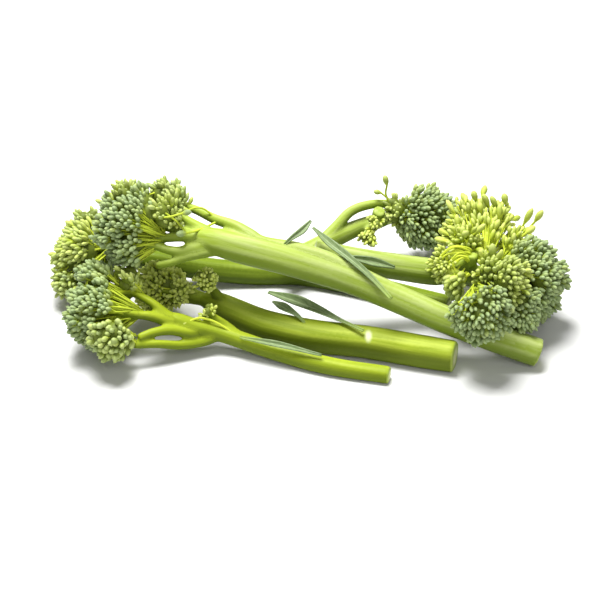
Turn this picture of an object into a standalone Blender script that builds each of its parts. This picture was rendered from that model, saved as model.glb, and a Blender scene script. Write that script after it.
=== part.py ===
"""A bunch of six broccolini spears in a loose pile, four heads at one end and two at the other."""
import math

import bmesh
import bpy
import numpy as np
from mathutils import Vector

MM = 0.001
BUNCH_CENTRE = (3.4, 24.8)      # middle of the bunch as laid out, in x and y
GAP = 0.3                       # air between two nodes that touch on the real bunch
ROOM_OF_BRANCH = 0.35           # added to the radius of a branch for the hole that it sits in
ROOM_OF_STALK = 0.4
WELD = 0.1                      # points of a rod's caps that are nearer than this become one
STALK_SIDES = 3                 # bevel resolution: ten sides
BRANCH_SIDES = 1                # bevel resolution: six sides
STEPS = 4                       # steps from one spine point to the next
BRANCH_STEPS = 3
SHARP_ANGLE = 50                # edges sharper than this many degrees stay sharp

# Heads
GOLDEN = math.pi * (3.0 - math.sqrt(5.0))
LOBE_SPREAD = 105               # degrees from a dome's axis over which its lobes stand
FIRST_LOBE = 0.35               # how far the first lobe is off the axis, in lobes
LOBE_STRAY = 0.12               # how much the lobes differ in size, as a share
REACH_STRAY = 0.06              # how much they differ in their distance from the dome's centre
BUD_SPACING = 11.4              # from one bud cluster to the next over a head
FEWEST_BUDS = 14
BUD_DEPTH = 1.7                 # valley between two bud clusters on a large dome
LARGE_DOME = 14                 # radius from which on the valleys have their full depth
BUD_SHOULDER = 0.66             # width of a cluster's shoulder in its cell
SHOULDER_DROP = 0.45            # shoulder under the tip of a cluster, by the depth of the valley
PLAIN_BACK = -0.55              # a dome is plain behind, where its branches come in
CORE_SHARE = 0.72               # radius of a dome's inner ball, as a share of the dome's
CORE_AHEAD = 0.2                # how far the inner ball sits ahead of the dome's centre

# Branches
BRANCHES_PER_DOME = 4           # branches in sight; the other lobes stand on the dome's inner ball
BRANCH_SINK = 2.5               # how far a branch reaches into its head
BRANCH_MIDDLE = 0.45            # where a branch bends, by its length
BRANCH_BEND = 0.1               # how far it is pushed on along the stalk there, by its length

# Leaves
LEAF_THICKNESS = 0.9
LEAF_STEPS = 3
LEAF_FOLD = 0.35                # how deep a leaf is folded along its midrib, by its half width

# Every spear: spine points from the cut end to the crown as x, y, z, radius in millimetres; the
# radii of its branches at the stalk and at the tip; how far they start before the crown; shoots
# that leave the stalk below the crown; and the domes that its head is made of. A carried dome
# stands on a shoot or on its neighbour and gets no branches from the crown.
CROSSING = {
    "spine": [(99.5, -18.5, 6, 6.0), (65, -14, 17.5, 5.8), (42, -7.5, 25, 5.8), (21, -0.5, 31, 5.9),
              (-4, 3.5, 37.5, 6.2), (-25, 7.5, 41.5, 6.5), (-36, 10, 43.5, 5.8), (-44, 12, 44.5, 3.6)],
    "branch": (3.4, 1.5, 10),
    "shoots": [[(32, -2, 31, 2.6), (14, 2.5, 38.5, 2.7), (0, 5.5, 42, 2.8), (-15.5, 8, 43.5, 3.0),
                (-21, 10.5, 45.9, 2.9), (-27.5, 14.5, 48.2, 2.4), (-36, 20.5, 48.2, 2.0),
                (-44, 26, 49.5, 1.7), (-50, 29, 50, 1.5)]],
    "domes": {
        "main": {"centre": (-68.5, 16.5, 46), "axis": (-1, 0.05, 0.1), "radius": 21,
                 "lobes": 8, "lobe": 0.45},
        "peak": {"centre": (-73.2, 24.9, 53.5), "axis": (-0.4, 0.2, 1), "radius": 12.5,
                 "lobes": 5, "lobe": 0.5, "carried": True},
        "top": {"centre": (-57.5, 29.5, 50), "axis": (-0.3, 0.3, 1), "radius": 14,
                "lobes": 5, "lobe": 0.55},
    },
}
CROSSING_LONG_LEAF = [(37.5, -15.5, 30.5, 0.7), (30, -7, 35, 1.2), (21, 0.5, 39.9, 1.5),
                      (12.5, 8.5, 43, 1.7), (5.5, 16, 46.5, 0.5)]
CROSSING_SMALL_LEAF = [(-4, 6, 46.7, 0.8), (1, 9.5, 49, 1.3), (4.5, 13.5, 51.2, 0.5)]
RIGHT = {
    "spine": [(6, 15.5, 34.8, 5.6), (21, 15.5, 31.5, 5.6), (42.5, 16.5, 27, 5.7), (58, 16.5, 24.5, 5.4),
              (66, 16.5, 23.5, 3.4)],
    "branch": (3.2, 1.5, 9),
    "shoots": [[(52, 16, 26.5, 3.6), (61, 12, 29.5, 3.4), (68, 7.5, 33, 3.1), (71.5, 4.5, 37, 2.9),
                (72, 4, 40.5, 2.7)]],
    "domes": {
        "dome": {"centre": (94.8, 14, 21), "axis": (1, -0.2, 0.1), "radius": 22.5,
                 "lobes": 9, "lobe": 0.42},
        "middle": {"centre": (83.3, -4, 29.9), "axis": (-0.2, -0.6, 1), "radius": 16.5,
                   "lobes": 6, "lobe": 0.5},
        "front": {"centre": (73.5, -21, 29), "axis": (-0.4, -1, 0), "radius": 17,
                  "lobes": 7, "lobe": 0.5, "carried": True},
        "between": {"centre": (88.5, -7, 20), "axis": (0.2, -1, -0.2), "radius": 14.5,
                    "lobes": 5, "lobe": 0.5, "carried": True},
        "top": {"centre": (78.6, 45, 27), "axis": (0.5, 1, 0.4), "radius": 19,
                "lobes": 6, "lobe": 0.48},
        "inner": {"centre": (71, 30, 31), "axis": (-0.4, -0.4, 1), "radius": 10.5,
                  "lobes": 4, "lobe": 0.55, "carried": True},
        "curl": {"centre": (61, 6, 34.5), "axis": (-1, -0.5, 0.5), "radius": 9,
                 "lobes": 3, "lobe": 0.55, "carried": True},
    },
}
RIGHT_LEAF = [(22, 10.3, 35.3, 0.8), (31.5, 9.2, 33.7, 1.8), (40, 8.5, 31.6, 0.5)]
BACK_RIGHT = {
    "spine": [(-8, 40, 15.9, 4.0), (0, 45.5, 16.3, 4.0), (12, 55.5, 17, 4.2), (25, 65, 18.5, 3.8),
              (36, 70.5, 19.5, 3.2), (41, 72.5, 20, 2.2)],
    "branch": (2.0, 1.2, 6),
    "shoots": [[(10, 54.5, 17.5, 3.0), (16, 60, 22, 2.4), (23, 66, 27, 2.1), (32, 70.5, 28, 1.9),
                (41, 73, 27, 1.6)],
               [(34, 69, 19.5, 2.5), (34.8, 66, 24, 2.7), (35.5, 63.5, 28.5, 2.8)],
               [(33.5, 68, 20, 1.4), (32, 62.5, 19.5, 1.2), (30.5, 59, 18, 1.0)]],
    "domes": {
        "main": {"centre": (57, 71, 20), "axis": (1, 0.2, 0.1), "radius": 18,
                 "lobes": 7, "lobe": 0.5},
        "near": {"centre": (43.8, 71, 24.3), "axis": (-0.5, -0.6, 0.8), "radius": 9,
                 "lobes": 4, "lobe": 0.55, "carried": True},
        "side": {"centre": (30.5, 58.5, 17.5), "axis": (-0.3, -1, -0.6), "radius": 5.5,
                 "lobes": 3, "lobe": 0.5, "carried": True},
    },
}
BACK_LEFT = {
    "spine": [(64.5, 20.5, 4.6, 4.9), (44, 30.5, 4.6, 4.9), (22, 41, 4.6, 4.9), (0, 48, 4.6, 4.9),
              (-22.5, 48.5, 5, 4.9), (-44.5, 47, 8.5, 5.1), (-65, 45.5, 13.5, 5.0), (-74, 44.5, 15.5, 3.4)],
    "branch": (2.8, 1.4, 8),
    "shoots": [],
    "domes": {
        "main": {"centre": (-92, 43, 17.2), "axis": (-1, 0.1, 0), "radius": 19.5,
                 "lobes": 7, "lobe": 0.5},
        "high": {"centre": (-94.6, 60, 24.8), "axis": (-0.5, 0.3, 1), "radius": 8.5,
                 "lobes": 4, "lobe": 0.55, "carried": True},
        "low": {"centre": (-102.2, 30, 11), "axis": (-1, -0.8, 0), "radius": 9,
                "lobes": 4, "lobe": 0.55, "carried": True},
    },
}
FRONT_LEFT = {
    "spine": [(37, -31, 3.2, 3.5), (12.5, -24.5, 3.4, 3.6), (-10.5, -15, 4.5, 3.5), (-31.5, -7.5, 8, 3.5),
              (-43, -7, 11, 3.6), (-51, -6.5, 14, 3.4), (-56, -6.5, 16, 2.4)],
    "branch": (2.2, 1.2, 7),
    "shoots": [[(-24, -8.5, 7, 1.5), (-30.5, -5, 11, 1.3), (-36, -4, 14.5, 1.1), (-40, -3.8, 16, 1.0)]],
    "domes": {
        "main": {"centre": (-83.6, -8, 18.1), "axis": (-1, -0.2, 0.1), "radius": 17.5,
                 "lobes": 8, "lobe": 0.45},
        "upper": {"centre": (-86.4, 5, 27.4), "axis": (-0.6, 1, 0.5), "radius": 10.5,
                  "lobes": 5, "lobe": 0.55, "carried": True},
        "round": {"centre": (-77.8, -23.5, 17), "axis": (-0.2, -1, -0.1), "radius": 12.3,
                  "lobes": 5, "lobe": 0.55, "carried": True},
        "side": {"centre": (-38.5, -3.8, 17), "axis": (-0.6, -0.3, 1), "radius": 4.8,
                 "lobes": 3, "lobe": 0.5, "carried": True},
    },
}
FRONT_LEFT_LEAF = [(-25, -13, 10.2, 0.6), (-8.5, -18.5, 9.8, 1.3), (9, -24.5, 8.8, 0.5)]
THICK = {
    "spine": [(64.5, -21.5, 6.2, 6.6), (49.5, -17, 6.2, 6.6), (28, -10.5, 6.4, 6.7), (6.5, -6, 6.5, 6.8),
              (-14, 1, 7.2, 6.6), (-28, 8.5, 9, 6.2), (-35, 12, 11, 5.4), (-41, 15, 12.5, 3.4)],
    "branch": (3.0, 1.5, 8),
    "shoots": [[(-30, 10, 11, 2.2), (-36, 10, 18, 1.8), (-39.5, 9.2, 23.5, 1.5)]],
    "domes": {
        "main": {"centre": (-60.5, 23.5, 12.1), "axis": (-0.7, -0.5, 0.5), "radius": 14.5,
                 "lobes": 5, "lobe": 0.5},
        "near": {"centre": (-51.3, 13, 17.2), "axis": (-0.1, -0.8, 0.6), "radius": 7.5,
                 "lobes": 4, "lobe": 0.55, "carried": True},
        "side": {"centre": (-40, 9, 25), "axis": (0.2, -0.5, 1), "radius": 7,
                 "lobes": 3, "lobe": 0.5, "carried": True},
    },
}
THICK_LONG_LEAF = [(26.5, -14.2, 14.2, 0.6), (17.5, -8, 15.2, 0.8), (8.5, -1.5, 15.8, 1.8),
                   (-2, 7, 15.6, 2.3), (-13.5, 14.5, 15.6, 0.7)]
THICK_SHORT_LEAF = [(-1, -4, 15.3, 0.8), (-7, 2, 15.4, 1.8), (-11.5, 7.5, 15.2, 0.5)]


def new_part_collection():
    """A scene with nothing in it but the collection of the parts."""
    for old in list(bpy.data.objects):
        bpy.data.objects.remove(old, do_unlink=True)
    collection = bpy.data.collections.new("broccolini_bunch")
    bpy.context.scene.collection.children.link(collection)
    return collection


PARTS = new_part_collection()


def material(name, colour, roughness):
    """A plain plant skin of one colour."""
    mat = bpy.data.materials.new(name)
    mat.use_nodes = True
    skin = mat.node_tree.nodes["Principled BSDF"]
    skin.inputs["Base Color"].default_value = (*colour, 1.0)
    skin.inputs["Roughness"].default_value = roughness
    skin.inputs["Metallic"].default_value = 0.0
    return mat


PALE_STALK = material("pale_stalk", (0.42, 0.55, 0.16), 0.42)
DARK_STALK = material("dark_stalk", (0.19, 0.32, 0.05), 0.42)
LIME_STALK = material("lime_stalk", (0.34, 0.48, 0.08), 0.42)
GREY_GREEN_BUDS = material("grey_green_buds", (0.16, 0.27, 0.11), 0.6)
YELLOW_GREEN_BUDS = material("yellow_green_buds", (0.36, 0.48, 0.12), 0.6)
LEAF_GREEN = material("leaf_green", (0.17, 0.30, 0.12), 0.5)


def place(point):
    """A point of the layout, moved so that the bunch is centred over the origin."""
    return Vector((point[0] - BUNCH_CENTRE[0], point[1] - BUNCH_CENTRE[1], point[2])) * MM


def smooth_line(points, steps):
    """Points on a smooth line through the given rows, whatever they hold."""
    rows = np.asarray(points, float)
    rows = np.vstack([2 * rows[0] - rows[1], rows, 2 * rows[-1] - rows[-2]])
    line = []
    for i in range(1, len(rows) - 2):
        a, b, c, d = rows[i - 1:i + 3]
        for k in range(steps):
            t = k / steps
            line.append(0.5 * (2 * b + (c - a) * t + (2 * a - 5 * b + 4 * c - d) * t ** 2
                               + (3 * b - a - 3 * c + d) * t ** 3))
    line.append(rows[-2])
    return line


def mesh_object(name, bm, mat):
    """An object of its own from a bmesh, in the parts' collection."""
    mesh = bpy.data.meshes.new(name)
    bmesh.ops.recalc_face_normals(bm, faces=bm.faces)
    bm.to_mesh(mesh)
    bm.free()
    obj = bpy.data.objects.new(name, mesh)
    PARTS.objects.link(obj)
    if mat is not None:
        mesh.materials.append(mat)
    return obj


def tube(name, line, sides, extra=0.0):
    """A closed round rod along the line; the fourth number of a row is its radius."""
    curve = bpy.data.curves.new(name, "CURVE")
    curve.dimensions = "3D"
    curve.bevel_depth = MM
    curve.bevel_resolution = sides
    curve.use_fill_caps = True
    spline = curve.splines.new("POLY")
    spline.points.add(len(line) - 1)
    for spot, row in zip(spline.points, line):
        spot.co = (*place(row), 1.0)
        spot.radius = row[3] + extra
    rod = bpy.data.objects.new(name, curve)
    PARTS.objects.link(rod)
    evaluated = rod.evaluated_get(bpy.context.evaluated_depsgraph_get())
    bm = bmesh.new()
    bm.from_mesh(bpy.data.meshes.new_from_object(evaluated))
    bmesh.ops.remove_doubles(bm, verts=bm.verts, dist=WELD * MM)
    bpy.data.objects.remove(rod, do_unlink=True)
    return mesh_object(name, bm, None)


def boolean(obj, others, operation):
    """Joins the others to the object or cuts them out of it, and removes them."""
    group = bpy.data.collections.new("cutters")
    bpy.context.scene.collection.children.link(group)
    for other in others:
        PARTS.objects.unlink(other)
        group.objects.link(other)
        other.hide_render = True
        other.display_type = "WIRE"
    modifier = obj.modifiers.new("boolean", "BOOLEAN")
    modifier.operation = operation
    modifier.operand_type = "COLLECTION"
    modifier.collection = group
    modifier.solver = "EXACT"
    evaluated = obj.evaluated_get(bpy.context.evaluated_depsgraph_get())
    result = bpy.data.meshes.new_from_object(evaluated)
    obj.modifiers.clear()
    materials = list(obj.data.materials)
    obj.data = result
    obj.data.materials.clear()
    for mat in materials:
        obj.data.materials.append(mat)
    for other in others:
        bpy.data.objects.remove(other, do_unlink=True)
    bpy.data.collections.remove(group)


def cut_flat(obj):
    """Cuts off what is below the surface, so that the piece rests on a flat."""
    bm = bmesh.new()
    bm.from_mesh(obj.data)
    if min(v.co.z for v in bm.verts) < 0.0:
        everything = bm.verts[:] + bm.edges[:] + bm.faces[:]
        cut = bmesh.ops.bisect_plane(bm, geom=everything, plane_co=(0, 0, 0), plane_no=(0, 0, -1),
                                     dist=0.001 * MM, clear_outer=True)
        rim = [e for e in cut["geom_cut"] if isinstance(e, bmesh.types.BMEdge)]
        bmesh.ops.edgeloop_fill(bm, edges=rim)
        bmesh.ops.recalc_face_normals(bm, faces=bm.faces)
        bm.to_mesh(obj.data)
    bm.free()


def finish(obj, mat):
    """The last steps of every node: flat foot, one colour, smooth shading."""
    cut_flat(obj)
    obj.data.materials.clear()
    obj.data.materials.append(mat)
    obj.data.shade_smooth()
    obj.data.set_sharp_from_angle(angle=math.radians(SHARP_ANGLE))


def lobes_of(dome):
    """Centre and radius of the balls that a dome's outside is made of, turned by the golden angle."""
    centre, axis = Vector(dome["centre"]), Vector(dome["axis"]).normalized()
    helper = Vector((0, 0, 1)) if abs(axis.z) < 0.9 else Vector((1, 0, 0))
    side = helper.cross(axis).normalized()
    up = axis.cross(side)
    draw = np.random.default_rng(1)
    lobes = []
    for i in range(dome["lobes"]):
        tilt = math.radians(LOBE_SPREAD) * math.sqrt((i + FIRST_LOBE) / dome["lobes"])
        turn = i * GOLDEN
        radius = dome["lobe"] * dome["radius"] * (1 + LOBE_STRAY * draw.uniform(-1, 1))
        reach = (dome["radius"] - radius) * (1 + REACH_STRAY * draw.uniform(-1, 1))
        way = math.cos(tilt) * axis + math.sin(tilt) * (math.cos(turn) * side + math.sin(turn) * up)
        lobes.append((centre + way * reach, radius))
    return lobes


def reach_of(way, centre, balls):
    """Distance from the centre to where a ray leaves the last of the balls."""
    far = 0.0
    for ball, radius in balls:
        offset = centre - ball
        along = way.dot(offset)
        inside = along * along - offset.length_squared + radius * radius
        if inside > 0.0:
            far = max(far, -along + math.sqrt(inside))
    return far


def balls_of(dome):
    """The lobes of a dome and the inner ball that they stand round."""
    ahead = Vector(dome["axis"]).normalized() * CORE_AHEAD * dome["radius"]
    return lobes_of(dome) + [(Vector(dome["centre"]) + ahead, CORE_SHARE * dome["radius"])]


def golden_ball(count):
    """A faceted ball of radius 1 with its corners on a golden spiral, one for each bud cluster."""
    ball = bmesh.new()
    for i in range(count):
        height = 1 - (2 * i + 1) / count
        ring = math.sqrt(1 - height * height)
        ball.verts.new((ring * math.cos(i * GOLDEN), ring * math.sin(i * GOLDEN), height))
    bmesh.ops.convex_hull(ball, input=ball.verts)
    bmesh.ops.triangulate(ball, faces=ball.faces)
    ball.faces.ensure_lookup_table()
    return ball


def sorted_faces(vert):
    """The faces round a vertex in the order in which they meet."""
    start = vert.link_loops[0]
    loop, faces = start, []
    while True:
        faces.append(loop.face)
        loop = loop.link_loop_prev.link_loop_radial_next
        if loop == start:
            return faces


def fan(bm, ring, tip):
    """Triangles from every edge of a ring to the tip."""
    for k in range(len(ring)):
        bm.faces.new((ring[k], ring[(k + 1) % len(ring)], tip))


def bud_dome(name, dome, swell=0.0):
    """One closed lumpy ball of bud clusters over the lobes of a dome."""
    centre = Vector(dome["centre"])
    axis = Vector(dome["axis"]).normalized()
    radius = dome["radius"]
    balls = balls_of(dome)
    ball = golden_ball(max(FEWEST_BUDS, round(4 * math.pi * radius ** 2 / BUD_SPACING ** 2)))
    depth = BUD_DEPTH * min(1.0, radius / LARGE_DOME)
    bm = bmesh.new()

    def vertex(way, drop):
        return bm.verts.new(place(centre + way * (reach_of(way, centre, balls) - drop + swell)))

    valley_ways = [face.calc_center_median().normalized() for face in ball.faces]
    valleys = [vertex(way, depth) for way in valley_ways]
    for seed in ball.verts:
        way = seed.co.normalized()
        around = [face.index for face in sorted_faces(seed)]
        corners = [valleys[i] for i in around]
        if way.dot(axis) < PLAIN_BACK:
            fan(bm, corners, vertex(way, depth))
            continue
        ways = [way.lerp(valley_ways[i], BUD_SHOULDER).normalized() for i in around]
        shoulders = [vertex(shoulder_way, SHOULDER_DROP * depth) for shoulder_way in ways]
        for k in range(len(corners)):
            j = (k + 1) % len(corners)
            bm.faces.new((corners[k], corners[j], shoulders[j]))
            bm.faces.new((corners[k], shoulders[j], shoulders[k]))
        fan(bm, shoulders, vertex(way, 0.0))
    ball.free()
    return mesh_object(name, bm, None)


def branch_line(spear, start, crown_way, lobe, centre, balls):
    """A bent branch from the crown until it is well inside its dome, as rows of x, y, z, radius."""
    base, tip, _ = spear["branch"]
    middle = start.lerp(lobe, BRANCH_MIDDLE) + crown_way * BRANCH_BEND * (lobe - start).length
    rows = [(*start, base), (*middle, 0.5 * (base + tip)), (*lobe, tip)]
    line = []
    for row in smooth_line(rows, BRANCH_STEPS):
        line.append(row)
        offset = Vector(row[:3]) - centre
        if offset.length < reach_of(offset.normalized(), centre, balls) - BRANCH_SINK:
            break
    return line


def branches_of(spear):
    """The branch lines from a spear's crown to the lobes of its domes, and its shoots."""
    crown, before = Vector(spear["spine"][-1][:3]), Vector(spear["spine"][-2][:3])
    way = (crown - before).normalized()
    start = crown - way * spear["branch"][2]
    lines = [smooth_line(shoot, BRANCH_STEPS) for shoot in spear["shoots"]]
    for dome in spear["domes"].values():
        if dome.get("carried"):
            continue
        centre = Vector(dome["centre"])
        balls = balls_of(dome)
        lobes = lobes_of(dome)
        hindmost = lobes[max(1, len(lobes) + 1 - BRANCHES_PER_DOME):]
        for lobe, _ in [lobes[0], *hindmost]:
            lines.append(branch_line(spear, start, way, lobe, centre, balls))
    return lines


def with_room(line):
    """The line drawn on past its ends, for a cutter that clears them too."""
    first, second, before, last = (np.asarray(line[k], float) for k in (0, 1, -2, -1))
    head_on, tail_on = first[:3] - second[:3], last[:3] - before[:3]
    start, end = first.copy(), last.copy()
    start[:3] += GAP * head_on / np.linalg.norm(head_on)
    end[:3] += GAP * tail_on / np.linalg.norm(tail_on)
    return [start, *line, end]


def spear_stem(name, spear, mat):
    """Stalk, branches and shoots of a spear in one body."""
    stalk = tube(name, smooth_line(spear["spine"], STEPS), STALK_SIDES)
    boolean(stalk, [tube("branch", line, BRANCH_SIDES) for line in branches_of(spear)], "UNION")
    finish(stalk, mat)


def head(name, spear, keys, mat, against=(), clear_of=()):
    """Bud clusters in one body, with room for their branches, stalks they lie on and other domes."""
    buds, *more = [bud_dome(name, spear["domes"][key]) for key in keys]
    if more:
        boolean(buds, more, "UNION")
    rooms = [tube("room", with_room(line), BRANCH_SIDES, ROOM_OF_BRANCH) for line in branches_of(spear)]
    for other in (spear, *against):
        rooms.append(tube("room", with_room(smooth_line(other["spine"], STEPS)), STALK_SIDES, ROOM_OF_STALK))
    rooms += [bud_dome("room", dome, ROOM_OF_STALK) for dome in clear_of]
    boolean(buds, rooms, "DIFFERENCE")
    finish(buds, mat)


def leaf(name, rows, facing, mat):
    """A thin leaf folded along its midrib; the fourth number of a row is its half width."""
    bm = bmesh.new()
    line = smooth_line(rows, LEAF_STEPS)
    rails = []
    for k, row in enumerate(line):
        before, after = line[max(k - 1, 0)], line[min(k + 1, len(line) - 1)]
        along = Vector(after[:3]) - Vector(before[:3])
        across = along.cross(Vector(facing)).normalized()
        up = across.cross(along).normalized()
        middle, half = Vector(row[:3]), row[3]
        lifted = middle + up * half * LEAF_FOLD
        corners = (lifted - across * half, middle, lifted + across * half)
        rails.append([bm.verts.new(place(corner)) for corner in corners])
    for this, other in zip(rails, rails[1:]):
        for k in (0, 1):
            bm.faces.new((this[k], this[k + 1], other[k + 1], other[k]))
    bmesh.ops.triangulate(bm, faces=bm.faces)
    blade = mesh_object(name, bm, mat)
    solid = blade.modifiers.new("thickness", "SOLIDIFY")
    solid.thickness = LEAF_THICKNESS * MM
    solid.offset = 0.0
    solid.use_even_offset = True
    evaluated = blade.evaluated_get(bpy.context.evaluated_depsgraph_get())
    blade.data = bpy.data.meshes.new_from_object(evaluated)
    blade.modifiers.clear()
    blade.data.shade_smooth()
    blade.data.set_sharp_from_angle(angle=math.radians(SHARP_ANGLE))


def build_bunch():
    """All the spears of the bunch."""
    spear_stem("crossing_stem", CROSSING, PALE_STALK)
    head("crossing_head", CROSSING, ["main", "peak", "top"], GREY_GREEN_BUDS)
    leaf("crossing_long_leaf", CROSSING_LONG_LEAF, (0.2, -0.6, 0.8), LEAF_GREEN)
    leaf("crossing_small_leaf", CROSSING_SMALL_LEAF, (0.2, -0.8, 0.6), LEAF_GREEN)
    spear_stem("right_stem", RIGHT, PALE_STALK)
    grey_keys = ["dome", "middle", "front", "between"]
    grey_domes = [RIGHT["domes"][key] for key in grey_keys]
    beside_top = [*grey_domes, BACK_RIGHT["domes"]["main"]]
    head("right_head_dome", RIGHT, grey_keys, GREY_GREEN_BUDS, against=[CROSSING])
    head("right_head_top", RIGHT, ["top"], YELLOW_GREEN_BUDS, clear_of=beside_top)
    beside_inner = [*grey_domes, RIGHT["domes"]["top"]]
    head("right_head_inner", RIGHT, ["inner"], YELLOW_GREEN_BUDS, clear_of=beside_inner)
    head("right_head_curl", RIGHT, ["curl"], YELLOW_GREEN_BUDS, clear_of=grey_domes)
    leaf("right_leaf", RIGHT_LEAF, (0, -0.8, 0.6), LEAF_GREEN)
    spear_stem("back_right_stem", BACK_RIGHT, PALE_STALK)
    head("back_right_head", BACK_RIGHT, ["main", "near"], GREY_GREEN_BUDS)
    head("back_right_side", BACK_RIGHT, ["side"], YELLOW_GREEN_BUDS)
    spear_stem("back_left_stem", BACK_LEFT, LIME_STALK)
    head("back_left_head", BACK_LEFT, ["main", "high", "low"], GREY_GREEN_BUDS)
    spear_stem("front_left_stem", FRONT_LEFT, LIME_STALK)
    neighbours = [CROSSING["domes"]["main"], BACK_LEFT["domes"]["main"]]
    head("front_left_head", FRONT_LEFT, ["main", "upper", "round"], GREY_GREEN_BUDS, clear_of=neighbours)
    head("front_left_side", FRONT_LEFT, ["side"], YELLOW_GREEN_BUDS)
    leaf("front_left_leaf", FRONT_LEFT_LEAF, (0, -0.5, 0.9), LEAF_GREEN)
    spear_stem("thick_stem", THICK, DARK_STALK)
    head("thick_head", THICK, ["main", "near"], YELLOW_GREEN_BUDS)
    head("thick_side", THICK, ["side"], YELLOW_GREEN_BUDS, clear_of=[THICK["domes"]["near"]])
    leaf("thick_long_leaf", THICK_LONG_LEAF, (0.2, -0.6, 0.8), LEAF_GREEN)
    leaf("thick_short_leaf", THICK_SHORT_LEAF, (0.2, -0.6, 0.8), LEAF_GREEN)


build_bunch()
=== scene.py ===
# %% [markdown]
# # A bunch of broccolini
# Six spears lie in a loose pile, four heads at one end and two at the other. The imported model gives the
# place and the rough form of every stalk, head and leaf. This lesson grows the real surface over it:
# thousands of single flower buds on thin stalks, stems that run into their branches without a seam,
# and folded leaves. Everything comes from a few numbers and seeded draws, so each run is the same.

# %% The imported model
import math

import bpy
import numpy as np
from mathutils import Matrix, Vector


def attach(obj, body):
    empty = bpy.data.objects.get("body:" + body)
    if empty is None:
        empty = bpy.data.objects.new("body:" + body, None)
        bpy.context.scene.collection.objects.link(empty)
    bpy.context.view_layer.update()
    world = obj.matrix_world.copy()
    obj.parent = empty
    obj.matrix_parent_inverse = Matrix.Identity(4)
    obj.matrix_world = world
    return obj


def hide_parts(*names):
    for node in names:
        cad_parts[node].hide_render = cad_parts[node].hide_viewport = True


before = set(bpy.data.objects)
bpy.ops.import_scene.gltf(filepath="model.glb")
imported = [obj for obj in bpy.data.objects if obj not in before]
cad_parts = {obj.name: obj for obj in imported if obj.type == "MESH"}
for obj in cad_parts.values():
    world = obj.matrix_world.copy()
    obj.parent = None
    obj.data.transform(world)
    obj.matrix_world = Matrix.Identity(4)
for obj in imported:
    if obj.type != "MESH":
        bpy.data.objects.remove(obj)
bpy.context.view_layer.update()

MM = 0.001

# %% [markdown]
# ## The camera, the floor and the light
# The photograph looks down on the bunch by about 31 degrees from some 0.8 m away, through a long lens.
# A camera can be placed by eye or worked out; it was worked out, so that every spear can be laid where
# the picture shows it, in the bunch's own numbers, whose middle is `BUNCH_CENTRE`. The light is a white
# room with one broad soft lamp overhead and a weak one in front, which leaves pale tops on the stalks
# and green shade under them; the stalk skins add a painted shade on their undersides as well.

# %% Camera, floor and lamps
BUNCH_CENTRE = (3.4, 24.8)
CAMERA_AT = (0.0, -692.0, 443.0)
LOOKS_DOWN = 31.4
LENS = 115.56


def place(points):
    """Rows of x, y, z in the bunch's millimetres, moved over the origin and turned into metres."""
    return (np.asarray(points, float)[..., :3] - (*BUNCH_CENTRE, 0.0)) * MM


def show(thing):
    """Puts an object into the scene."""
    bpy.context.scene.collection.objects.link(thing)


def set_camera():
    """A camera that sees the bunch as the photograph does."""
    camera = bpy.data.objects.new("camera", bpy.data.cameras.new("camera"))
    camera.location = place(CAMERA_AT)
    camera.rotation_euler = (math.radians(90 - LOOKS_DOWN), 0, 0)
    camera.data.lens = LENS
    camera.data.sensor_width = 36
    camera.data.clip_end = 20
    show(camera)
    bpy.context.scene.camera = camera


def add_lamp(name, spot, size, watts):
    """A square soft lamp that points at the bunch."""
    lamp = bpy.data.objects.new(name, bpy.data.lights.new(name, "AREA"))
    lamp.data.energy = watts
    lamp.data.size = size
    lamp.location = spot
    lamp.rotation_euler = Vector(spot).to_track_quat("Z", "Y").to_euler()
    show(lamp)


def set_room(brightness):
    """An even white world round the bunch."""
    world = bpy.data.worlds.new("white_room")
    world.use_nodes = True
    world.node_tree.nodes["Background"].inputs["Color"].default_value = (1, 1, 1, 1)
    world.node_tree.nodes["Background"].inputs["Strength"].default_value = brightness
    bpy.context.scene.world = world


set_camera()
bpy.context.scene.view_settings.view_transform = "Standard"
set_room(0.22)
add_lamp("overhead_softbox", (-0.12, 0.12, 0.9), 0.45, 19)
add_lamp("front_fill", (0.1, -0.9, 0.65), 0.7, 4)

# %% [markdown]
# ## Shader sums in Python
# A material is a graph of nodes, long and hard to read when it is written out. So one small class wraps
# an output socket and lets it take part in ordinary sums: `1 - mask * 0.4` adds the Math nodes itself.
# A second class holds one material and makes any other node from its type, its settings and the values
# of its sockets. Colours always go through a Mix node, because a Math node would turn them grey.

# %% Wires and finishes
class Wire:
    """An output socket that can be used in sums."""

    def __init__(self, finish, socket):
        self.finish = finish
        self.socket = socket

    def sum(self, operation, *values):
        return self.finish.node("ShaderNodeMath", {"operation": operation}, dict(enumerate(values)))

    def __add__(self, other):
        return self.sum("ADD", self, other)

    def __rsub__(self, other):
        return self.sum("SUBTRACT", other, self)

    def __mul__(self, other):
        return self.sum("MULTIPLY", self, other)

    __radd__ = __add__
    __rmul__ = __mul__

    def steps(self, low, high):
        """0 below low, 1 above high, and a straight slope between them."""
        limits = {0: self, 1: low, 2: high, 3: 0.0, 4: 1.0}
        return self.finish.node("ShaderNodeMapRange", {"clamp": True}, limits)


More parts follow.
